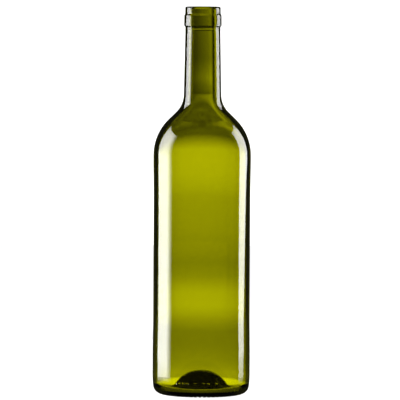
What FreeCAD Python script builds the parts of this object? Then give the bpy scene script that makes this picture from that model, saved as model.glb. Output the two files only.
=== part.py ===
import FreeCAD, Part

import math
import os
from typing import NamedTuple

import Sketcher

# An empty Bordeaux bottle for 75 cl of wine, in one piece of green glass.
# The origin is on the axis at the level the bottle stands on, and +Z points to the mouth.

# Driving dimensions: alias, value, meaning. Lengths are in millimetres, angles in degrees.
SIZES = [
    ("height", 300.0, "from the bearing ring to the top of the lip"),
    ("body_dia", 75.4, "outside diameter of the two contact bands"),
    ("wall", 3.2, "glass in the body and the shoulder"),
    # label panel, a shallow recess between the two contact bands
    ("panel_depth", 0.36, "recess of the label panel on each side"),
    ("lower_band", 32.0, "height at which the lower contact band ends"),
    ("upper_band", 7.0, "length of the upper contact band below the shoulder"),
    ("panel_ease", 24.0, "length of the slope from a band to the panel"),
    ("panel_blend", 400.0, "blend between a band, its slope and the panel"),
    # heel and bearing ring
    ("heel_height", 12.0, "height at which the heel starts to draw in"),
    ("heel_inset", 1.1, "how far the heel has drawn in at the bottom"),
    ("heel_blend", 55.0, "blend from the body to the heel"),
    ("heel_radius", 7.0, "rounding from the heel to the bearing ring"),
    ("foot_width", 14.1, "from the body's outside to the foot of the punt"),
    ("foot_radius", 5.0, "rounding from the bearing ring to the punt"),
    ("floor_wall", 4.2, "glass above the bearing ring"),
    ("heel_inner_radius", 6.0, "rounding inside the heel"),
    # punt, the dome pushed up into the bottom
    ("punt_depth", 15.0, "height of the punt under its crown"),
    ("punt_flat", 0.8, "radius of the level spot on the crown"),
    ("punt_slope", 45.0, "slope of the punt's side above the horizontal"),
    ("punt_wall", 3.6, "glass in the punt"),
    ("trough_radius", 3.0, "rounding inside, between the punt and the floor"),
    # shoulder
    ("shoulder_radius", 38.4, "convex curve from the body to the slope"),
    ("shoulder_angle", 45.4, "slope of the shoulder, measured from the axis"),
    ("root_radius", 19.0, "concave curve from the slope to the neck"),
    # neck
    ("neck_height", 75.9, "from the corner of slope and neck to the top of the lip"),
    ("neck_root_dia", 29.25, "outside of the neck at its corner with the slope"),
    ("neck_top_dia", 27.0, "outside of the neck just below the finish"),
    ("neck_wall", 4.1, "glass at the foot of the neck"),
    # finish: a band below a narrower lip, as for a driven cork
    ("band_height", 9.2, "height of the finish band"),
    ("band_step", 1.05, "how far the band stands out from the neck"),
    ("band_draft", 0.15, "how much the band narrows towards its top"),
    ("lip_height", 6.1, "height of the lip above the band"),
    ("lip_step", 0.7, "how far the lip stands back from the band"),
    ("lip_radius", 1.3, "rounding of the lip's two edges"),
    ("edge_radius", 0.25, "rounding of the band's edges"),
    # bore that holds the cork
    ("bore_dia", 18.6, "bore at the mouth"),
    ("bore_low_dia", 20.0, "bore at the depth the cork reaches"),
    ("bore_depth", 45.0, "depth the cork reaches"),
]

# Sizes that follow from the driving ones, as expressions on the sheet.
BODY_R = "Sizes.body_dia / 2"
PANEL_R = f"{BODY_R} - Sizes.panel_depth"
INNER_R = f"{BODY_R} - Sizes.wall"
HEEL_R = f"{BODY_R} - Sizes.heel_inset"
ROOT_R = "Sizes.neck_root_dia / 2"
INNER_ROOT_R = f"({ROOT_R} - Sizes.neck_wall)"
BORE_R = "Sizes.bore_dia / 2"
BORE_LOW_R = "Sizes.bore_low_dia / 2"
NECK_TOP_R = "Sizes.neck_top_dia / 2"
BAND_R = f"{NECK_TOP_R} + Sizes.band_step"
BAND_TOP_R = f"{BAND_R} - Sizes.band_draft"
LIP_R = f"{BAND_TOP_R} - Sizes.lip_step"
LIP_Z = "Sizes.height - Sizes.lip_height"
BAND_Z = f"{LIP_Z} - Sizes.band_height"
TAN_SHOULDER = "tan(Sizes.shoulder_angle)"
TAN_HALF_SHOULDER = "tan(Sizes.shoulder_angle / 2)"
ROOT_Z = "(Sizes.height - Sizes.neck_height)"
SHOULDER_Z = f"({ROOT_Z} - ({BODY_R} - {ROOT_R}) / {TAN_SHOULDER})"
UPPER_BAND_Z = f"{SHOULDER_Z} - Sizes.shoulder_radius * {TAN_HALF_SHOULDER} - Sizes.upper_band"
INNER_SHOULDER_Z = f"{SHOULDER_Z} - Sizes.wall * {TAN_HALF_SHOULDER}"
INNER_ROOT_Z = (
    f"{SHOULDER_Z} + ({BODY_R} - {INNER_ROOT_R}) / {TAN_SHOULDER}"
    " - Sizes.wall / sin(Sizes.shoulder_angle)"
)
TAN_PUNT = "tan(Sizes.punt_slope)"
TAN_HALF_PUNT = "tan(Sizes.punt_slope / 2)"
FOOT_R = f"({BODY_R} - Sizes.foot_width)"
CROWN_R = f"({FOOT_R} - Sizes.punt_depth / {TAN_PUNT})"
CROWN_RADIUS = f"({CROWN_R} - Sizes.punt_flat) / {TAN_HALF_PUNT}"
FLOOR_Z = "(Sizes.punt_depth + Sizes.punt_wall)"
INNER_CROWN_R = f"({CROWN_R} + Sizes.punt_wall * {TAN_HALF_PUNT})"
TROUGH_R = f"{INNER_CROWN_R} + ({FLOOR_Z} - Sizes.floor_wall) / {TAN_PUNT}"


class Corner(NamedTuple):
    """A corner of the glass's section: its distance from the axis, its height and its rounding."""

    name: str
    distance: str
    level: str
    rounding: str = "0"


# The section of the glass, from the crown of the punt round the outside to the mouth,
# and down the inside to the floor.
SECTION = [
    Corner("CrownMiddle", "0", "Sizes.punt_depth"),
    Corner("Crown", CROWN_R, "Sizes.punt_depth", CROWN_RADIUS),
    Corner("Foot", FOOT_R, "0", "Sizes.foot_radius"),
    Corner("Heel", HEEL_R, "0", "Sizes.heel_radius"),
    Corner("HeelTop", BODY_R, "Sizes.heel_height", "Sizes.heel_blend"),
    Corner("LowerBand", BODY_R, "Sizes.lower_band", "Sizes.panel_blend"),
    Corner("PanelBottom", PANEL_R, "Sizes.lower_band + Sizes.panel_ease", "Sizes.panel_blend"),
    Corner("PanelTop", PANEL_R, f"{UPPER_BAND_Z} - Sizes.panel_ease", "Sizes.panel_blend"),
    Corner("UpperBand", BODY_R, UPPER_BAND_Z, "Sizes.panel_blend"),
    Corner("Shoulder", BODY_R, SHOULDER_Z, "Sizes.shoulder_radius"),
    Corner("NeckRoot", ROOT_R, ROOT_Z, "Sizes.root_radius"),
    Corner("NeckTop", NECK_TOP_R, BAND_Z, "Sizes.edge_radius"),
    Corner("BandBottom", BAND_R, BAND_Z, "Sizes.edge_radius"),
    Corner("BandTop", BAND_TOP_R, LIP_Z, "Sizes.edge_radius"),
    Corner("LipBottom", LIP_R, LIP_Z, "Sizes.edge_radius"),
    Corner("LipTop", LIP_R, "Sizes.height", "Sizes.lip_radius"),
    Corner("Mouth", BORE_R, "Sizes.height", "Sizes.lip_radius"),
    Corner("CorkDepth", BORE_LOW_R, "Sizes.height - Sizes.bore_depth"),
    Corner("InnerRoot", INNER_ROOT_R, INNER_ROOT_Z, "Sizes.root_radius + Sizes.wall"),
    Corner("InnerShoulder", INNER_R, INNER_SHOULDER_Z, "Sizes.shoulder_radius - Sizes.wall"),
    Corner("InnerHeel", INNER_R, "Sizes.floor_wall", "Sizes.heel_inner_radius"),
    Corner("Trough", TROUGH_R, "Sizes.floor_wall", "Sizes.trough_radius"),
    Corner("InnerCrown", INNER_CROWN_R, FLOOR_Z, f"{CROWN_RADIUS} + Sizes.punt_wall"),
    Corner("FloorMiddle", "0", FLOOR_Z),
]

TOUCH = 1e-6


def check(condition, message):
    """Stop with a message when a step did not do what it should."""
    if not condition:
        raise RuntimeError(message)


def make_sizes(doc):
    """Write the driving dimensions into a spreadsheet, one named cell each."""
    sheet = doc.addObject("Spreadsheet::Sheet", "Sizes")
    for row, (alias, value, meaning) in enumerate(SIZES, start=1):
        sheet.set(f"A{row}", meaning)
        sheet.set(f"B{row}", str(value))
        sheet.setAlias(f"B{row}", alias)
    doc.recompute()


def make_corner_table(doc):
    """Work out, in a second spreadsheet, where each rounding of the section starts and ends.

    Columns B, C and D hold the corner's place and rounding. E to H point from the corner to
    its two neighbours, I is the distance from the corner to both ends of its rounding, and
    J to M are those ends.
    """
    table = doc.addObject("Spreadsheet::Sheet", "Corners")
    count = len(SECTION)
    for index, corner in enumerate(SECTION):
        row, before, after = index + 1, (index - 1) % count + 1, (index + 1) % count + 1
        table.set(f"A{row}", corner.name)
        table.set(f"B{row}", f"={corner.distance}")
        table.set(f"C{row}", f"={corner.level}")
        table.set(f"D{row}", f"={corner.rounding}")
        for columns, other in (("EF", before), ("GH", after)):
            step = f"sqrt((B{other} - B{row}) ^ 2 + (C{other} - C{row}) ^ 2)"
            table.set(f"{columns[0]}{row}", f"=(B{other} - B{row}) / {step}")
            table.set(f"{columns[1]}{row}", f"=(C{other} - C{row}) / {step}")
        cosine = f"(E{row} * G{row} + F{row} * H{row})"
        table.set(f"I{row}", f"=D{row} * sqrt((1 + {cosine}) / (1 - {cosine}))")
        for column, alias, formula in (
            ("J", "in_x", f"=B{row} + E{row} * I{row}"),
            ("K", "in_z", f"=C{row} + F{row} * I{row}"),
            ("L", "out_x", f"=B{row} + G{row} * I{row}"),
            ("M", "out_z", f"=C{row} + H{row} * I{row}"),
        ):
            table.set(f"{column}{row}", formula)
            table.setAlias(f"{column}{row}", f"{corner.name}_{alias}")
        table.setAlias(f"D{row}", f"{corner.name}_rounding")
    doc.recompute()
    return table


def bind(sketch, kind, items, expression):
    """Add a dimension to a sketch and tie it to an expression on a sheet."""
    value = float(sketch.evalExpression(expression))
    index = sketch.addConstraint(Sketcher.Constraint(kind, *items, value))
    sketch.setExpression(f"Constraints[{index}]", expression)


def hold_point(sketch, item, end, cell):
    """Hold one end of a side at a place in the corner table."""
    for kind, axis, suffix in (("DistanceX", -2, "x"), ("DistanceY", -1, "z")):
        expression = f"Corners.{cell}_{suffix}"
        if abs(float(sketch.evalExpression(expression))) < TOUCH:
            sketch.addConstraint(Sketcher.Constraint("PointOnObject", item, end, axis))
        else:
            bind(sketch, kind, (-1, 1, item, end), expression)


def round_arc(start, end, corner, radius):
    """Give the arc that rounds a corner, and whether it runs from start to end."""
    chord = end - start
    middle = (start + end) / 2
    inward = (middle - corner).normalize()
    centre = middle + inward * math.sqrt(radius**2 - (chord.Length / 2) ** 2)
    turns_left = chord.x * inward.y - chord.y * inward.x > 0
    ends = (start, end) if turns_left else (end, start)
    angles = [math.atan2(point.y - centre.y, point.x - centre.x) for point in ends]
    circle = Part.Circle(centre, FreeCAD.Vector(0, 0, 1), radius)
    return Part.ArcOfCircle(circle, *angles), turns_left


def draw_section(sketch, table):
    """Draw the closed section: a straight side between corners, and an arc at each rounding."""

    def place(corner, side):
        return FreeCAD.Vector(
            table.get(f"{corner.name}_{side}_x"), table.get(f"{corner.name}_{side}_z"), 0
        )

    following = SECTION[1:] + SECTION[:1]
    sides = []
    for corner, after in zip(SECTION, following):
        line = Part.LineSegment(place(corner, "out"), place(after, "in"))
        side = sketch.addGeometry(line, False)
        hold_point(sketch, side, 1, f"{corner.name}_out")
        hold_point(sketch, side, 2, f"{after.name}_in")
        sides.append(side)
    for index, corner in enumerate(SECTION):
        radius = table.get(f"{corner.name}_rounding")
        if radius < TOUCH:
            continue
        start, end = place(corner, "in"), place(corner, "out")
        to_corner = FreeCAD.Vector(table.get(f"B{index + 1}"), table.get(f"C{index + 1}"), 0)
        arc, turns_left = round_arc(start, end, to_corner, radius)
        number = sketch.addGeometry(arc, False)
        first, last = (1, 2) if turns_left else (2, 1)
        sketch.addConstraint(
            [
                Sketcher.Constraint("Coincident", sides[index - 1], 2, number, first),
                Sketcher.Constraint("Coincident", number, last, sides[index], 1),
            ]
        )
        bind(sketch, "Radius", (number,), f"Corners.{corner.name}_rounding")


def make_bottle(doc, table):
    """Build the bottle as one body of glass, its section turned once round the axis."""
    body = doc.addObject("PartDesign::Body", "Bottle")
    body.Label = "bottle"
    body.Placement = FreeCAD.Placement(FreeCAD.Vector(0, 0, 0), FreeCAD.Rotation())
    plane = next(item for item in body.Origin.OriginFeatures if item.Role == "XZ_Plane")
    sketch = body.newObject("Sketcher::SketchObject", "GlassSection")
    sketch.AttachmentSupport = [(plane, "")]
    sketch.MapMode = "FlatFace"
    draw_section(sketch, table)
    glass = body.newObject("PartDesign::Revolution", "Glass")
    glass.Profile = sketch
    glass.ReferenceAxis = (sketch, ["V_Axis"])
    glass.Angle = 360.0
    doc.recompute()
    return body


def check_document(doc, parts):
    """Refuse to write anything if a feature failed or a part isn't one sound solid."""
    for item in doc.Objects:
        failed = "Invalid" in item.State or "Error" in item.State
        check(not failed, f"{item.Name} failed: {item.State}")
    for part in parts:
        shape = part.Shape
        check(not shape.isNull(), f"{part.Label} is empty")
        check(shape.isValid(), f"{part.Label} isn't a valid shape")
        check(len(shape.Solids) == 1, f"{part.Label} isn't one solid")


def main():
    """Build the document, check it and write each part as STEP."""
    doc = FreeCAD.newDocument("BordeauxBottle")
    make_sizes(doc)
    table = make_corner_table(doc)
    parts = [make_bottle(doc, table)]
    check_document(doc, parts)
    os.makedirs("parts", exist_ok=True)
    for part in parts:
        box = part.Shape.optimalBoundingBox()
        print(f"{part.Label}: {box.XLength:.2f} x {box.YLength:.2f} x {box.ZLength:.2f} mm,"
              f" {part.Shape.Volume / 1000:.1f} ml of glass, {len(part.Shape.Faces)} faces")
        part.Shape.exportStep(f"parts/{part.Label}.step")


main()
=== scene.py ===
import sys
import logging
import math
from dataclasses import dataclass, field
from enum import Enum
from typing import Any, Callable, NamedTuple, Sequence

import bpy
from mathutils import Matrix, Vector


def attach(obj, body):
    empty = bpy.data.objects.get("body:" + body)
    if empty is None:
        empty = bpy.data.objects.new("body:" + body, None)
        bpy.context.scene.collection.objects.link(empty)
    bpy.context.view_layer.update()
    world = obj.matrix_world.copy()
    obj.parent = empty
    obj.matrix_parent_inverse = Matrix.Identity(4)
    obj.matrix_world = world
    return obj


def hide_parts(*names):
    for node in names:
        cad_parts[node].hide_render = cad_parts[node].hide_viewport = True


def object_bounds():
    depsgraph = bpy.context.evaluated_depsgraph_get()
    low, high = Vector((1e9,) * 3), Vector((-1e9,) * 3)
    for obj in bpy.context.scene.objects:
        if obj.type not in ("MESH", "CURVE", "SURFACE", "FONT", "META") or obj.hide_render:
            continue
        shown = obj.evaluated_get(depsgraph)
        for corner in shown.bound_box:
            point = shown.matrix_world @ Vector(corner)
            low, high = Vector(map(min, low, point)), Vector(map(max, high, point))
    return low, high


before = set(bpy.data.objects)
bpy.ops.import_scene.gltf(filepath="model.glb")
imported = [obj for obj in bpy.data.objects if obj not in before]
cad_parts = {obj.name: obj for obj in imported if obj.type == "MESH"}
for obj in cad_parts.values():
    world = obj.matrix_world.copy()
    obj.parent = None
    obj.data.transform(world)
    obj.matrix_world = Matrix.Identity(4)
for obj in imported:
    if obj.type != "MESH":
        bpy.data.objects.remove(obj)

log = logging.getLogger("bottle")
MM = 0.001
CAD_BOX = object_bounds()
SHORTEST_RUN = 1e-6      # millimetres
WELD = 0.000002          # metres
ONE_WALL = 2.5           # surfaces: one wall has two, and a ray that met more reached the other
Point = tuple[float, float, float]
Place = tuple[float, float]
Stops = tuple[tuple[float, float], ...]
FaceTest = Callable[[Sequence[float], Sequence[float]], bool]
EVEN: Stops = ((0.0, 1.0), (1.0, 1.0))


class RayKind(Enum):
    """The outputs of a Light Path node that the studio tells apart."""

    CAMERA = "Is Camera Ray"
    THROUGH = "Is Transmission Ray"
    SURFACES = "Transmission Depth"


class Zone(Enum):
    """The parts of the bottle's surface that are shaped after the turning."""

    BEARING_RING = "bearing_ring"
    HEEL_CODE = "heel_code"


# ---------------------------------------------------------------- shader maths


class Wire:
    """A shader socket that takes part in sums, with each sum adding its Math node."""

    def __init__(self, graph: "Graph", socket: bpy.types.NodeSocket) -> None:
        """Keeps the socket and the graph that it belongs to."""
        self.graph = graph
        self.socket = socket

    def _math(self, operation: str, *values: Any, clamp: bool = False) -> "Wire":
        """Adds a Math node and returns its result.

        Args:
            operation: the Math node's operation.
            values: numbers or wires, in the order of the node's inputs.
            clamp: whether the result is held between 0 and 1.

        Returns:
            The node's output as a wire.
        """
        settings = {"operation": operation, "use_clamp": clamp}
        return self.graph.node("ShaderNodeMath", settings, dict(enumerate(values)))

    def __add__(self, other: Any) -> "Wire":
        """self + other."""
        return self._math("ADD", self, other)

    def __radd__(self, other: Any) -> "Wire":
        """other + self."""
        return self._math("ADD", other, self)

    def __sub__(self, other: Any) -> "Wire":
        """self - other."""
        return self._math("SUBTRACT", self, other)

    def __rsub__(self, other: Any) -> "Wire":
        """other - self."""
        return self._math("SUBTRACT", other, self)

    def __mul__(self, other: Any) -> "Wire":
        """self * other."""
        return self._math("MULTIPLY", self, other)

    def __rmul__(self, other: Any) -> "Wire":
        """other * self."""
        return self._math("MULTIPLY", other, self)

    def __truediv__(self, other: Any) -> "Wire":
        """self / other."""
        return self._math("DIVIDE", self, other)

    def __rtruediv__(self, other: Any) -> "Wire":
        """other / self."""
        return self._math("DIVIDE", other, self)

    def __abs__(self) -> "Wire":
        """The size of self without its sign."""
        return self._math("ABSOLUTE", self)

    def clamped(self) -> "Wire":
        """Self held between 0 and 1."""
        return self._math("ADD", self, 0.0, clamp=True)

    def between(self, low: Any, high: Any) -> "Wire":
        """Low where self is 0, high where self is 1, and a mix between."""
        return low + self * (high - low)


class Graph:
    """The nodes of one material or world."""

    def __init__(self, tree: bpy.types.NodeTree) -> None:
        """Clears the tree and keeps it."""
        self.tree = tree
        tree.nodes.clear()

    def node(
        self,
        kind: str,
        settings: dict[str, Any] | None = None,
        inputs: dict[Any, Any] | None = None,
        output: int | str = 0,
    ) -> Wire:
        """Adds one node of any type.

        Args:
            kind: the node's type name.
            settings: the node's own properties, which are set first. A ramp's
                stops are given as "stops", pairs of place and brightness.
            inputs: values or wires for its sockets, by name or index.
            output: which of its outputs to return.

        Returns:
            The chosen output as a wire, or the first input of a node with no outputs.
        """
        made = self.tree.nodes.new(kind)
        for name, value in (settings or {}).items():
            if name == "stops":
                self._set_stops(made.color_ramp, value)
            else:
                setattr(made, name, value)
        for name, value in (inputs or {}).items():
            socket = made.inputs[name]
            if isinstance(value, Wire):
                self.tree.links.new(value.socket, socket)
            else:
                socket.default_value = value
        if not made.outputs:
            return Wire(self, made.inputs[0])
        return Wire(self, made.outputs[output])

    @staticmethod
    def _set_stops(ramp: bpy.types.ColorRamp, stops: Stops) -> None:
        """Gives a ramp its grey stops.

        Args:
            ramp: the node's ramp.
            stops: (place, brightness) pairs in rising order.
        """
        while len(ramp.elements) > 1:
            ramp.elements.remove(ramp.elements[-1])
        for index, (place, grey) in enumerate(stops):
            element = ramp.elements[0] if index == 0 else ramp.elements.new(place)
            element.position = place
            element.color = (grey, grey, grey, 1.0)

    def place(self) -> Wire:
        """The object's own coordinates."""
        return self.node("ShaderNodeTexCoord", output="Object")

    def along(self, place: Wire, axis: str) -> Wire:
        """One coordinate, X, Y or Z, of a place."""
        return self.node("ShaderNodeSeparateXYZ", {}, {"Vector": place}, output=axis)

    def ramp(self, stops: Stops, where: Wire) -> Wire:
        """The grey that a ramp has at a place between 0 and 1."""
        return self.node("ShaderNodeValToRGB", {"stops": stops}, {"Fac": where})

    def ray(self, kind: RayKind) -> Wire:
        """One thing that is known of the ray which meets the surface."""
        return self.node("ShaderNodeLightPath", output=kind.value)


# ---------------------------------------------------------------- finishes


@dataclass(frozen=True)
class DeadLeafGlass:
    """Olive bottle glass: clear, tinted through its thickness, with a moulded skin. In metres."""

    name: str = "dead_leaf_green_glass"
    ior: float = 1.5
    roughness: float = 0.0
    tint: Point = (0.907, 0.907, 0.0)
    tint_density: float = 1500.0
    ripple_scale: float = 38.0
    ripple_stretch: Point = (1.0, 1.0, 0.35)
    ripple_detail: float = 1.0
    ripple_roughness: float = 0.4
    ripple_depth: float = 0.00004
    skin_scale: float = 420.0
    skin_detail: float = 2.0
    skin_roughness: float = 0.5
    skin_depth: float = 0.0000015
    seam_width: float = 0.0004
    seam_depth: float = 0.00004

    def material(self) -> bpy.types.Material:
        """Makes the glass.

        Returns:
            A material with one Principled shader and an even Volume Absorption.
        """
        made = bpy.data.materials.new(self.name)
        made.use_nodes = True
        graph = Graph(made.node_tree)
        place = graph.place()
        stretched = graph.node(
            "ShaderNodeMapping",
            {"vector_type": "POINT"},
            {"Vector": place, "Scale": self.ripple_stretch},
        )
        ripple = graph.node(
            "ShaderNodeTexNoise",
            {},
            {
                "Vector": stretched,
                "Scale": self.ripple_scale,
                "Detail": self.ripple_detail,
                "Roughness": self.ripple_roughness,
            },
        )
        skin = graph.node(
            "ShaderNodeTexNoise",
            {},
            {
                "Vector": place,
                "Scale": self.skin_scale,
                "Detail": self.skin_detail,
                "Roughness": self.skin_roughness,
            },
        )
        seam = (1.0 - abs(graph.along(place, "Y")) / self.seam_width).clamped()
        height = ripple * self.ripple_depth + skin * self.skin_depth + seam * self.seam_depth
        bump = graph.node(
            "ShaderNodeBump", {}, {"Height": height, "Strength": 1.0, "Distance": 1.0}
        )
        shader = graph.node(
            "ShaderNodeBsdfPrincipled",
            {},
            {
                "Base Color": (1.0, 1.0, 1.0, 1.0),
                "Roughness": self.roughness,
                "IOR": self.ior,
                "Transmission Weight": 1.0,
                "Normal": bump,
            },
        )
        inside = graph.node(
            "ShaderNodeVolumeAbsorption",
            {},
            {"Color": (*self.tint, 1.0), "Density": self.tint_density},
        )
        graph.node("ShaderNodeOutputMaterial", {}, {"Surface": shader, "Volume": inside})
        return made


def through_both_walls(graph: Graph) -> Wire:
    """Tells light seen through the whole bottle from light that went round inside one wall.

    Args:
        graph: the nodes to add to.

    Returns:
        1 for a ray that crossed the glass on both sides of the bottle, and 0
        for one that turned back.
    """
    return (graph.ray(RayKind.SURFACES) - ONE_WALL).clamped()


@dataclass(frozen=True)
class PuntShadePad:
    """Matt near-black surface for the pad in the punt: painted shade that makes the punt's dome
    dark.
    """

    name: str = "painted_punt_shade"
    colour: Point = (0.004, 0.004, 0.003)

    def material(self) -> bpy.types.Material:
        """Makes the painted shade for the punt.

        Returns:
            A material with one matt shader.
        """
        made = bpy.data.materials.new(self.name)
        made.use_nodes = True
        graph = Graph(made.node_tree)
        # a matt near-black surface: painted shade inside the punt
        painted_shade = graph.node("ShaderNodeBsdfDiffuse", {}, {"Color": (*self.colour, 1.0)})
        graph.node("ShaderNodeOutputMaterial", {}, {"Surface": painted_shade})
        return made


@dataclass(frozen=True)
class StudioFloor:
    """A pale matt sweep that glows evenly to the camera. In metres.

    Seen through the glass it carries a painted shadow under the bottle and a painted pool of
    light close around it, fades outwards behind it, and stays open beside and before it.
    """

    name: str = "pale_studio_floor"
    grey: float = 0.4
    glow: float = 1.0
    reach: float = 1.0
    through_glow: float = 2.2
    open_glow: float = 1.0
    open_spread: float = 0.5
    open_from: float = 0.06
    open_soft: float = 0.12
    open_reach: float = 0.75
    open_fade: float = 0.15
    front_from: float = 0.08
    front_soft: float = 0.1
    turned_back: float = 0.22
    # Glow seen through the glass, by distance from the axis: a painted shadow under the bottle,
    # then a painted pool of light just around it, fading outwards.
    through: Stops = (
        (0.0, 0.01), (0.024, 0.01), (0.029, 0.5), (0.037, 0.55), (0.046, 0.9), (0.08, 0.8),
        (0.12, 0.5), (0.2, 0.32), (0.28, 0.25), (0.36, 0.2), (0.45, 0.19), (0.5, 0.08),
        (1.0, 0.04),
    )

    def material(self) -> bpy.types.Material:
        """Makes the floor's matt paper and its glow."""
        made = bpy.data.materials.new(self.name)
        made.use_nodes = True
        graph = Graph(made.node_tree)
        seen = graph.ray(RayKind.CAMERA)
        through = graph.ray(RayKind.THROUGH)
        place = graph.place()
        away = graph.node(
            "ShaderNodeVectorMath", {"operation": "LENGTH"}, {0: place}, output="Value"
        )
        # painted shadow under the bottle and painted light around it, for rays through the glass
        fade = graph.ramp(self.through, (away / self.reach).clamped())
        paper = graph.node(
            "ShaderNodeBsdfDiffuse", {}, {"Color": (self.grey, self.grey, self.grey, 1.0)}
        )
        glow = graph.node("ShaderNodeEmission", {}, {"Strength": seen * self.glow})
        both = graph.node("ShaderNodeAddShader", {}, {0: paper, 1: glow})
        side = graph.along(place, "X")
        depth = graph.along(place, "Y")
        spread = (abs(side) - self.open_spread * depth - self.open_from) / self.open_soft
        beside = spread.clamped() * ((self.open_reach - away) / self.open_fade).clamped()
        front = ((-self.front_from - depth) / self.front_soft).clamped()
        opened = (beside + front).clamped()
        behind = fade * self.through_glow
        walls = through_both_walls(graph).between(self.turned_back, 1.0)
        strength = opened.between(behind, self.open_glow) * walls
        faded = graph.node("ShaderNodeEmission", {}, {"Strength": strength})
        mixed = graph.node("ShaderNodeMixShader", {}, {0: through, 1: both, 2: faded})
        graph.node("ShaderNodeOutputMaterial", {}, {"Surface": mixed})
        return made


@dataclass(frozen=True)
class LightCard:
    """A glowing card, which differs for mirrored light and for light through the glass.

    Its brightness follows the height (rise, and rise_through for light through
    the glass), the distance behind the axis from near to far (depth), and the
    distance aside (low_across, and top_across above top_from). In metres.
    """

    name: str
    mirrored: float
    through: float
    low: float
    high: float
    rise: Stops = EVEN
    rise_through: Stops | None = None
    taper: float = 0.0
    taper_below: float = 0.15
    turned_back: float = 1.0
    near: float = 0.0
    far: float = 1.0
    depth: Stops = EVEN
    half_width: float = 1.0
    low_across: Stops = EVEN
    top_from: float = 10.0
    top_soft: float = 0.02
    top_gain: float = 1.0
    top_across: Stops = EVEN

    def material(self) -> bpy.types.Material:
        """Makes the card's glow.

        Returns:
            An Emission material: the height gives its colour's brightness,
            and the other three things give its strength.
        """
        made = bpy.data.materials.new(self.name)
        made.use_nodes = True
        graph = Graph(made.node_tree)
        place = graph.place()
        up = graph.along(place, "Z")
        level = (up - self.low) / (self.high - self.low)
        behind = (graph.along(place, "Y") - self.near) / (self.far - self.near)
        behind = behind * (1.0 + (self.taper_below - up).clamped() * self.taper)
        rise = graph.ramp(self.rise, level.clamped())
        if self.rise_through:
            seen = graph.ray(RayKind.THROUGH)
            rise = seen.between(rise, graph.ramp(self.rise_through, level.clamped()))
        depth = graph.ramp(self.depth, behind.clamped())
        through = graph.ray(RayKind.THROUGH)
        sideways = graph.along(place, "X")
        aside = (sideways / (2.0 * self.half_width) + 0.5).clamped()
        across = graph.ramp(self.top_across, aside)
        below = graph.ramp(self.low_across, aside)
        top = ((up - self.top_from) / self.top_soft).clamped()
        lean = top.between(below, across * self.top_gain)
        walls = through_both_walls(graph).between(self.turned_back * self.through, self.through)
        strength = through.between(self.mirrored, walls) * depth * lean
        glow = graph.node("ShaderNodeEmission", {}, {"Color": rise, "Strength": strength})
        graph.node("ShaderNodeOutputMaterial", {}, {"Surface": glow})
        return made


# ---------------------------------------------------------------- operators


def deselect_all() -> None:
    """Leaves edit mode and deselects every object."""
    if bpy.context.object and bpy.context.object.mode != "OBJECT":
        bpy.ops.object.mode_set(mode="OBJECT")
    bpy.ops.object.select_all(action="DESELECT")


def select_faces(piece: bpy.types.Object, wanted: FaceTest) -> int:
    """Selects in edit mode the faces that a test picks.

    Args:
        piece: the object, in object mode.
        wanted: a test of a face's centre and normal.

    Returns:
        How many faces were picked.
    """
    bpy.ops.object.mode_set(mode="EDIT")
    bpy.ops.mesh.select_mode(type="FACE")
    bpy.ops.mesh.select_all(action="DESELECT")
    bpy.ops.object.mode_set(mode="OBJECT")
    count = 0
    for face in piece.data.polygons:
        face.select = wanted(face.center, face.normal)
        count += face.select
    bpy.ops.object.mode_set(mode="EDIT")
    return count


# ---------------------------------------------------------------- the bottle


class Corner(NamedTuple):
    """A corner of a section, in millimetres, with the rows of the run before it."""

    distance: float
    level: float
    rounding: float = 0.0
    rows: int = 1


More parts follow.
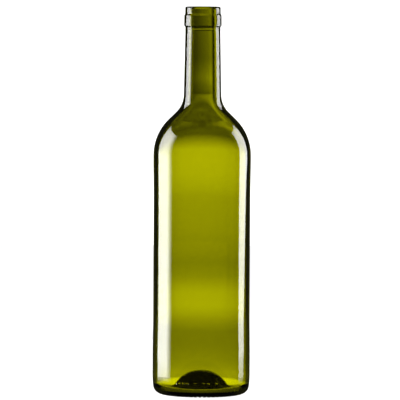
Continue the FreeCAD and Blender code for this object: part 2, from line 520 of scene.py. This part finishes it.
@dataclass
class Lathe:
    """Turns a line with rounded corners round the upright axis. In millimetres and degrees."""

    corners: list[Corner]
    columns: int
    step_angle: float = 4.0

    def draw_section(self) -> bpy.types.Object:
        """Draws the section: a point is pulled along each run and swung round each corner.

        Returns:
            The object, in edit mode, with the line in the XZ plane.
        """
        corners = self.corners
        start = corners[0]
        deselect_all()
        bpy.ops.mesh.primitive_circle_add(
            vertices=3, radius=MM, location=(start.distance * MM, 0.0, start.level * MM)
        )
        piece = bpy.context.object
        bpy.ops.object.transform_apply(location=True, rotation=True, scale=True)
        bpy.ops.object.mode_set(mode="EDIT")
        bpy.ops.mesh.select_mode(type="VERT")
        bpy.ops.mesh.select_all(action="SELECT")
        bpy.ops.mesh.merge(type="CENTER")
        here = (start.distance, start.level)
        for index in range(1, len(corners)):
            corner = corners[index]
            incoming = self._direction(corners[index - 1], corner)
            if index == len(corners) - 1:
                here = self._pull(here, (corner.distance, corner.level), corner.rows)
                break
            outgoing = self._direction(corner, corners[index + 1])
            turn = math.atan2(
                incoming[0] * outgoing[1] - incoming[1] * outgoing[0],
                incoming[0] * outgoing[0] + incoming[1] * outgoing[1],
            )
            reach = corner.rounding * math.tan(abs(turn) / 2)
            into = (corner.distance - incoming[0] * reach, corner.level - incoming[1] * reach)
            here = self._pull(here, into, corner.rows)
            if corner.rounding > 0.0:
                here = self._swing(here, incoming, turn, corner.rounding)
        return piece

    @staticmethod
    def _direction(a: Corner, b: Corner) -> Place:
        """The unit direction from corner a to corner b."""
        length = math.hypot(b.distance - a.distance, b.level - a.level)
        return ((b.distance - a.distance) / length, (b.level - a.level) / length)

    @staticmethod
    def _pull(here: Place, there: Place, rows: int) -> Place:
        """Pulls the line's end straight to a place, in a number of rows.

        Args:
            here: where the end is, as (distance, level).
            there: where it goes.
            rows: how many pieces the run has.

        Returns:
            The new end.
        """
        if math.hypot(there[0] - here[0], there[1] - here[1]) < SHORTEST_RUN:
            return here
        step = ((there[0] - here[0]) / rows * MM, 0.0, (there[1] - here[1]) / rows * MM)
        for _ in range(rows):
            bpy.ops.mesh.extrude_region_move(TRANSFORM_OT_translate={"value": step})
        return there

    def _swing(self, here: Place, incoming: Place, turn: float, rounding: float) -> Place:
        """Swings the line's end round a corner.

        Args:
            here: where the end is.
            incoming: the direction that it arrives in.
            turn: the turn in radians, positive to the left of the line.
            rounding: the corner's radius.

        Returns:
            The new end.
        """
        side = 1.0 if turn > 0 else -1.0
        centre = (
            here[0] - side * incoming[1] * rounding,
            here[1] + side * incoming[0] * rounding,
        )
        steps = max(2, math.ceil(math.degrees(abs(turn)) / self.step_angle))
        bpy.ops.mesh.spin(
            steps=steps,
            angle=turn,
            center=(centre[0] * MM, 0.0, centre[1] * MM),
            axis=(0.0, 1.0, 0.0),
        )
        away = (here[0] - centre[0], here[1] - centre[1])
        cos, sin = math.cos(turn), math.sin(turn)
        return (
            centre[0] + away[0] * cos - away[1] * sin,
            centre[1] + away[0] * sin + away[1] * cos,
        )

    def turn_section(self) -> None:
        """Turns the line round the axis and closes the seam and both poles."""
        bpy.ops.mesh.select_all(action="SELECT")
        bpy.ops.mesh.spin(
            steps=self.columns, angle=math.tau, center=(0.0, 0.0, 0.0), axis=(0.0, 0.0, 1.0)
        )
        bpy.ops.mesh.select_all(action="SELECT")
        bpy.ops.mesh.remove_doubles(threshold=WELD)
        bpy.ops.mesh.normals_make_consistent(inside=False)
        bpy.ops.object.mode_set(mode="OBJECT")


@dataclass
class WineBottle:
    """One turned wall of glass, from punt to banded mouth. In millimetres and degrees.

    A level is measured from the floor. The heel's arc is given as how far in
    and up from the heel's height each corner is, and the neck's faint parting
    ring as how far out and up from the band.
    """

    height: float = (CAD_BOX[1][2] - CAD_BOX[0][2]) / MM
    body_dia: float = 2.0 * CAD_BOX[1][0] / MM
    wall: float = 3.2
    punt_depth: float = 15.0
    punt_top: float = 8.6
    punt_radius: float = 18.83
    foot_width: float = 14.1
    foot_radius: float = 5.0
    heel_height: float = 12.0
    heel_inset: float = 1.1
    heel_radius: float = 7.0
    heel_arc: tuple[Place, ...] = ((0.17, -1.8), (0.05, 0.2), (0.0, 2.6))
    heel_arc_radius: float = 20.0
    panel_depth: float = 0.36
    panel_ease: float = 24.0
    panel_blend: float = 400.0
    panel_top: float = 154.28
    lower_band: float = 32.0
    upper_band: float = 178.28
    shoulder_level: float = 201.345
    shoulder_radius: float = 38.4
    neck_root: float = 14.625
    neck_top: float = 13.5
    neck_height: float = 75.9
    neck_root_radius: float = 19.0
    ring: tuple[Place, ...] = ((0.02, -3.1), (0.24, -2.5), (0.0, -1.9))
    ring_radius: float = 0.3
    finish_height: float = 15.3
    band_under: float = 0.35
    band_under_radius: float = 1.1
    band_over: float = 0.4
    band_low: float = 14.55
    band_high: float = 14.4
    band_top: float = 293.45
    band_radius: float = 1.0
    lip: float = 13.7
    lip_foot: float = 294.3
    lip_foot_radius: float = 0.9
    lip_radius: float = 1.3
    mouth: float = 9.3
    mouth_radius: float = 2.4
    bore: float = 10.0
    bore_end: float = 255.0
    inner_root: float = 10.525
    inner_root_level: float = 223.65
    inner_root_radius: float = 22.2
    inner_shoulder_level: float = 200.0
    inner_shoulder_radius: float = 35.2
    heel_inner_radius: float = 6.0
    floor_wall: float = 4.2
    trough: float = 24.49
    trough_radius: float = 3.0
    punt_wall: float = 3.6
    inner_punt_top: float = 10.09
    inner_punt_radius: float = 22.43
    columns: int = 224
    step_angle: float = 4.0
    sharp_angle: float = 40.0
    knurl_every: int = 4
    knurl_inside: float = 1.4
    knurl_outside: float = 3.4
    knurl_top: float = 2.6
    knurl_facing: float = -0.55
    knurl_border: float = 0.12
    knurl_depth: float = 0.5
    dot_code: str = "11110101101"
    dot_start: float = -31.0
    dot_pitch: int = 3
    dot_rows: Place = (10.8, 11.6)
    dot_skin: float = 1.0
    dot_border: float = 0.28
    dot_depth: float = 0.28
    dot_bowl_border: float = 0.16
    dot_bowl_share: float = 0.3
    glass: DeadLeafGlass = field(default_factory=DeadLeafGlass)

    def corners(self) -> list[Corner]:
        """Works out the glass section's corners.

        Returns:
            The corners from the top of the punt outwards, up the outside,
            over the lip and down the inside to the punt's inner top.
        """
        body = self.body_dia / 2
        panel = body - self.panel_depth
        neck = self.neck_top
        band = self.height - self.finish_height
        inner = body - self.wall
        inner_punt = self.punt_depth + self.punt_wall
        heel = [
            Corner(body - inwards, self.heel_height + up, self.heel_arc_radius, rows)
            for (inwards, up), rows in zip(self.heel_arc, (3, 1, 1))
        ]
        ring = [
            Corner(neck + outwards, band + up, self.ring_radius, rows)
            for (outwards, up), rows in zip(self.ring, (10, 1, 1))
        ]
        return [
            Corner(0.0, self.punt_depth),
            Corner(self.punt_top, self.punt_depth, self.punt_radius),
            Corner(body - self.foot_width, 0.0, self.foot_radius, 3),
            Corner(body - self.heel_inset, 0.0, self.heel_radius, 4),
            *heel,
            Corner(body, self.lower_band, self.panel_blend, 6),
            Corner(panel, self.lower_band + self.panel_ease, self.panel_blend),
            Corner(panel, self.panel_top, self.panel_blend, 24),
            Corner(body, self.upper_band, self.panel_blend),
            Corner(body, self.shoulder_level, self.shoulder_radius),
            Corner(self.neck_root, self.height - self.neck_height, self.neck_root_radius),
            *ring,
            Corner(neck, band - self.band_under, self.band_under_radius),
            Corner(self.band_low, band + self.band_over, self.band_radius),
            Corner(self.band_high, self.band_top, self.band_radius, 4),
            Corner(self.lip, self.lip_foot, self.lip_foot_radius),
            Corner(self.lip, self.height, self.lip_radius, 2),
            Corner(self.mouth, self.height, self.mouth_radius),
            Corner(self.bore, self.bore_end, 0.0, 6),
            Corner(self.inner_root, self.inner_root_level, self.inner_root_radius, 4),
            Corner(inner, self.inner_shoulder_level, self.inner_shoulder_radius),
            Corner(inner, self.floor_wall, self.heel_inner_radius, 30),
            Corner(self.trough, self.floor_wall, self.trough_radius),
            Corner(self.inner_punt_top, inner_punt, self.inner_punt_radius),
            Corner(0.0, inner_punt),
        ]

    def column_of(self, x: float, y: float) -> int:
        """The column of faces that a point is in, counted from the front to the right."""
        turn = math.atan2(x, -y) / math.tau * self.columns
        return int(math.floor(turn + 1e-6)) % self.columns

    def cut_knurl(self, piece: bpy.types.Object) -> None:
        """Presses short grooves into the ring that the bottle stands on.

        Args:
            piece: the turned bottle, in object mode.
        """
        body = self.body_dia / 2
        low, high = body - self.foot_width - self.knurl_inside, body - self.knurl_outside

        def in_groove(centre: Sequence[float], normal: Sequence[float]) -> bool:
            """Whether a face lies in a groove of the bearing ring."""
            column = self.column_of(centre[0], centre[1])
            return (
                low < math.hypot(centre[0], centre[1]) / MM < high
                and centre[2] < self.knurl_top * MM
                and normal[2] < self.knurl_facing
                and column % self.knurl_every < self.knurl_every // 2
            )

        count = select_faces(piece, in_groove)
        bpy.ops.mesh.inset(
            thickness=self.knurl_border * MM, depth=-self.knurl_depth * MM, use_even_offset=True
        )
        bpy.ops.object.mode_set(mode="OBJECT")
        log.info("%s: %d faces pressed in", Zone.BEARING_RING.value, count)

    def press_dots(self, piece: bpy.types.Object) -> None:
        """Presses the row of mould dots in, low on the front of the heel.

        Args:
            piece: the turned bottle, in object mode.
        """
        start = math.radians(self.dot_start)
        first = self.column_of(math.sin(start), -math.cos(start))
        dotted = {
            (first + self.dot_pitch * index + half) % self.columns
            for index, bit in enumerate(self.dot_code)
            if bit == "1"
            for half in (0, 1)
        }

        def in_dot(centre: Sequence[float], _normal: Sequence[float]) -> bool:
            """Whether a face of the outside is under a dot."""
            out = math.hypot(centre[0], centre[1]) / MM
            return (
                out > self.body_dia / 2 - self.dot_skin
                and self.dot_rows[0] * MM < centre[2] < self.dot_rows[1] * MM
                and self.column_of(centre[0], centre[1]) in dotted
            )

        count = select_faces(piece, in_dot)
        bpy.ops.mesh.inset(
            thickness=self.dot_border * MM, depth=-self.dot_depth * MM, use_even_offset=True
        )
        bpy.ops.mesh.inset(
            thickness=self.dot_bowl_border * MM,
            depth=-self.dot_depth * self.dot_bowl_share * MM,
            use_even_offset=True,
        )
        bpy.ops.object.mode_set(mode="OBJECT")
        log.info("%s: %d faces pressed in", Zone.HEEL_CODE.value, count)

    def build(self) -> bpy.types.Object:
        """Models the bottle and dresses it.

        Returns:
            The finished piece, riding on the body "root".
        """
        lathe = Lathe(self.corners(), self.columns, self.step_angle)
        piece = lathe.draw_section()
        piece.name = "bottle_glass"
        piece.data.name = "bottle_glass"
        lathe.turn_section()
        self.cut_knurl(piece)
        self.press_dots(piece)
        bpy.ops.object.shade_smooth_by_angle(angle=math.radians(self.sharp_angle))
        piece.data.materials.clear()
        piece.data.materials.append(self.glass.material())
        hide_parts("bottle")
        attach(piece, "root")
        counts = len(piece.data.polygons), len(piece.data.vertices)
        log.info("%s: %d faces, %d vertices", piece.name, *counts)
        return piece


# ---------------------------------------------------------------- the studio


@dataclass
class Studio:
    """The floor, the dark pad that paints the shade in the punt, the glowing cards, the room and
    the camera.

    In metres and degrees, apart from the heights in back_levels, which are in
    millimetres.
    """

    camera_away: float = 3.4
    camera_height: float = 0.36
    camera_aim: float = 0.1504
    camera_lens: float = 396.14
    camera_sensor: float = 36.0
    camera_roll: float = 0.30
    camera_pan: float = -0.00263
    bounces: int = 24
    mirror_bounces: int = 12
    room_glow: float = 0.015
    room_white: float = 1.5
    floor_radius: float = 1.6
    floor_sides: int = 96
    # The dark pad in the punt: painted shade, a little into the glass.
    shade_pad_radius: float = 0.0236
    shade_pad_height: float = 0.015
    shade_pad_gap: float = -0.0002
    shade_pad_rounding: float = 0.0188
    shade_pad_foot: float = 0.0005
    shade_pad_top_share: float = 0.4
    shade_pad_foot_share: float = 1.4
    shade_pad_columns: int = 96
    card_steps: int = 24
    back_away: float = 0.45
    back_half_width: float = 0.16
    back_foot: float = -0.05
    back_height: float = 0.6
    back_top_from: float = 0.2
    back_top_gain: float = 2.1
    strip_away: float = 0.6
    strip_low: float = -0.1
    strip_high: float = 0.62
    left_rise: Stops = (
        (0.0, 0.0), (0.042, 0.1), (0.0625, 0.35), (0.08, 0.75), (0.1, 1.0), (0.38, 1.0),
        (0.46, 0.77), (0.85, 0.77), (1.0, 0.5),
    )
    right_rise: Stops = (
        (0.0, 0.0), (0.05, 0.15), (0.075, 0.45), (0.12, 0.88), (0.23, 1.0), (0.35, 0.98),
        (0.46, 0.82), (0.85, 0.82), (1.0, 0.5),
    )
    through_rise: Stops = (
        (0.0, 1.0), (0.137, 1.0), (0.145, 0.7), (0.25, 0.68), (0.4, 0.78), (0.6, 0.72),
        (1.0, 0.5),
    )
    strip_left: Place = (73.4, 124.0)
    strip_right: Place = (97.0, 131.5)
    left_depth: Stops = (
        (0.0, 0.0), (0.092, 0.2), (0.155, 0.41), (0.2225, 0.6), (0.29, 0.78), (0.36, 0.88),
        (0.47, 0.8), (0.94, 0.45), (1.0, 0.3),
    )
    right_depth: Stops = ((0.0, 0.3), (0.08, 0.6), (0.5, 0.5), (0.93, 0.38), (1.0, 0.0))
    right_taper: float = 3.0
    strip_mirrored: float = 17.6
    strip_through: float = 1.7
    strip_turned_back: float = 2.8
    back_turned_back: float = 0.35
    back_glow: float = 1.2
    back_top_across: Stops = (
        (0.0, 0.08), (0.1, 0.18), (0.35, 0.28), (0.5, 0.47), (0.65, 0.7), (0.75, 1.0),
        (0.81, 0.9), (0.87, 0.5), (0.93, 0.2), (1.0, 0.1),
    )
    back_levels: Stops = (
        (0.0, 0.34), (15.0, 0.52), (30.0, 0.8), (42.0, 0.76), (56.0, 0.46), (68.0, 0.38),
        (95.0, 0.56), (130.0, 0.65), (148.0, 0.88), (160.0, 1.0), (171.0, 0.92), (184.0, 0.5),
        (196.0, 0.14), (214.0, 0.11), (229.0, 0.38), (245.0, 0.2), (300.0, 0.28), (318.0, 0.22),
        (335.0, 0.03), (600.0, 0.02),
    )
    back_low_across: Stops = (
        (0.0, 1.0), (0.12, 1.05), (0.25, 0.85), (0.4, 1.0), (0.6, 1.0), (0.75, 0.9),
        (0.86, 1.3), (1.0, 1.3),
    )

    def build(self) -> None:
        """Makes the whole studio."""
        self.make_floor()
        self.make_punt_shade()
        self.make_backdrop()
        self.make_strip("left", -1.0, self.strip_left, self.left_depth, self.left_rise, 0.0)
        self.make_strip(
            "right", 1.0, self.strip_right, self.right_depth, self.right_rise, self.right_taper
        )
        self.make_world()
        self.make_camera()

    def make_floor(self) -> None:
        """Lays the round pale floor."""
        deselect_all()
        bpy.ops.mesh.primitive_circle_add(
            vertices=self.floor_sides,
            radius=self.floor_radius,
            fill_type="NGON",
            location=(0.0, 0.0, 0.0),
        )
        floor = bpy.context.object
        floor.name = "studio_floor"
        floor.data.materials.append(StudioFloor().material())
        floor.visible_glossy = False
        log.info("floor: radius %.2f m", self.floor_radius)

    def make_punt_shade(self) -> None:
        """Fills the punt with a dark pad, a little into the glass, against floor light: painted
        shade that makes the punt dark.
        """
        deselect_all()
        rim, top, gap = self.shade_pad_radius / MM, self.shade_pad_height / MM, self.shade_pad_gap / MM
        foot = self.shade_pad_foot / MM
        profile = [
            Corner(0.0, top - gap),
            Corner(
                rim - top - self.shade_pad_top_share * gap, top - gap, self.shade_pad_rounding / MM
            ),
            Corner(rim - self.shade_pad_foot_share * gap - foot, foot),
        ]
        lathe = Lathe(profile, self.shade_pad_columns)
        pad = lathe.draw_section()
        lathe.turn_section()
        bpy.ops.object.shade_smooth()
        pad.name = "punt_shade_pad"
        pad.data.materials.append(PuntShadePad().material())
        log.info("rest: %.1f mm high", self.shade_pad_height / MM)

    def _curved_card(
        self, name: str, away: float, turns: Place, low: float, high: float
    ) -> bpy.types.Object:
        """Bends a card round the bottle.

        Args:
            name: the card's name.
            away: its distance from the axis.
            turns: the angles of its two edges from the camera's side, in
                degrees, positive to the right.
            low: the level of its lower edge.
            high: the level of its upper edge.

        Returns:
            The card, which the camera does not see.
        """
        deselect_all()
        bpy.ops.mesh.primitive_circle_add(vertices=3, radius=MM, location=(0.0, 0.0, 0.0))
        card = bpy.context.object
        bpy.ops.object.mode_set(mode="EDIT")
        bpy.ops.mesh.select_mode(type="VERT")
        bpy.ops.mesh.select_all(action="SELECT")
        bpy.ops.mesh.merge(type="CENTER")
        start = math.radians(turns[0])
        bpy.ops.transform.translate(value=(away * math.sin(start), -away * math.cos(start), low))
        bpy.ops.mesh.extrude_region_move(TRANSFORM_OT_translate={"value": (0.0, 0.0, high - low)})
        bpy.ops.mesh.select_all(action="SELECT")
        bpy.ops.mesh.spin(
            steps=self.card_steps,
            angle=math.radians(turns[0] - turns[1]),
            center=(0.0, 0.0, 0.0),
            axis=(0.0, 0.0, 1.0),
        )
        bpy.ops.object.mode_set(mode="OBJECT")
        card.name = name
        card.visible_camera = False
        return card

    def make_backdrop(self) -> None:
        """Stands the backdrop card behind the bottle."""
        half = math.degrees(math.asin(self.back_half_width / self.back_away))
        edges = (180.0 - half, 180.0 + half)
        card = self._curved_card(
            "backdrop_card", self.back_away, edges, self.back_foot, self.back_height
        )
        finish = LightCard(
            name="backdrop_glow",
            mirrored=0.0,
            through=self.back_glow,
            low=0.0,
            high=self.back_height,
            rise=tuple((level * MM / self.back_height, glow) for level, glow in self.back_levels),
            turned_back=self.back_turned_back,
            half_width=self.back_half_width,
            low_across=self.back_low_across,
            top_from=self.back_top_from,
            top_gain=self.back_top_gain,
            top_across=self.back_top_across,
        )
        card.data.materials.append(finish.material())
        log.info("backdrop: %.0f degrees each side", half)

    def make_strip(
        self,
        name: str,
        side: float,
        turns: Place,
        depth: Stops,
        rise: Stops,
        taper: float,
    ) -> None:
        """Stands one tall soft light at the side.

        Args:
            name: left or right.
            side: -1 for the left, 1 for the right.
            turns: its edges' angles from the camera's side.
            depth: its brightness from the edge near the camera to the far one.
            rise: its brightness in mirrored light from bottom to top.
            taper: how fast it narrows towards the floor, per metre.
        """
        edges = (side * turns[0], side * turns[1])
        card = self._curved_card(
            f"{name}_strip", self.strip_away, edges, self.strip_low, self.strip_high
        )
        near, far = (-self.strip_away * math.cos(math.radians(turn)) for turn in turns)
        finish = LightCard(
            name=f"{name}_strip_glow",
            mirrored=self.strip_mirrored,
            through=self.strip_through,
            low=self.strip_low,
            high=self.strip_high,
            rise=rise,
            rise_through=self.through_rise,
            taper=taper,
            turned_back=self.strip_turned_back,
            near=near,
            far=far,
            depth=depth,
        )
        card.data.materials.append(finish.material())
        log.info("%s strip: %.0f to %.0f degrees", name, *turns)

    def make_world(self) -> None:
        """Makes the room: white to the camera, dark to the glass."""
        world = bpy.data.worlds.new("studio_room")
        bpy.context.scene.world = world
        world.use_nodes = True
        graph = Graph(world.node_tree)
        strength = self.room_glow + graph.ray(RayKind.CAMERA) * self.room_white
        room = graph.node(
            "ShaderNodeBackground", {}, {"Color": (1.0, 1.0, 1.0, 1.0), "Strength": strength}
        )
        graph.node("ShaderNodeOutputWorld", {}, {"Surface": room})

    def make_camera(self) -> None:
        """Places the camera in front of the bottle, a little above it."""
        deselect_all()
        fall = math.atan2(self.camera_height - self.camera_aim, self.camera_away)
        bpy.ops.object.camera_add(
            location=(self.camera_pan, -self.camera_away, self.camera_height)
        )
        camera = bpy.context.object
        camera.name = "studio_camera"
        camera.rotation_euler = (math.pi / 2 - fall, math.radians(-self.camera_roll), 0.0)
        camera.data.lens = self.camera_lens
        camera.data.sensor_width = self.camera_sensor
        camera.data.dof.use_dof = False
        scene = bpy.context.scene
        scene.camera = camera
        scene.view_settings.view_transform = "Standard"
        scene.cycles.max_bounces = self.bounces
        scene.cycles.transmission_bounces = self.bounces
        scene.cycles.glossy_bounces = self.mirror_bounces
        scene.cycles.caustics_reflective = True
        scene.cycles.caustics_refractive = True
        scene.cycles.blur_glossy = 0.0
        log.info("camera: %.2f m away, %.1f mm lens", self.camera_away, self.camera_lens)


def main() -> None:
    """Builds the bottle and its studio."""
    logging.basicConfig(level=logging.INFO, format="%(name)s: %(message)s", stream=sys.stdout)
    WineBottle().build()
    Studio().build()


if __name__ == "__main__":
    main()
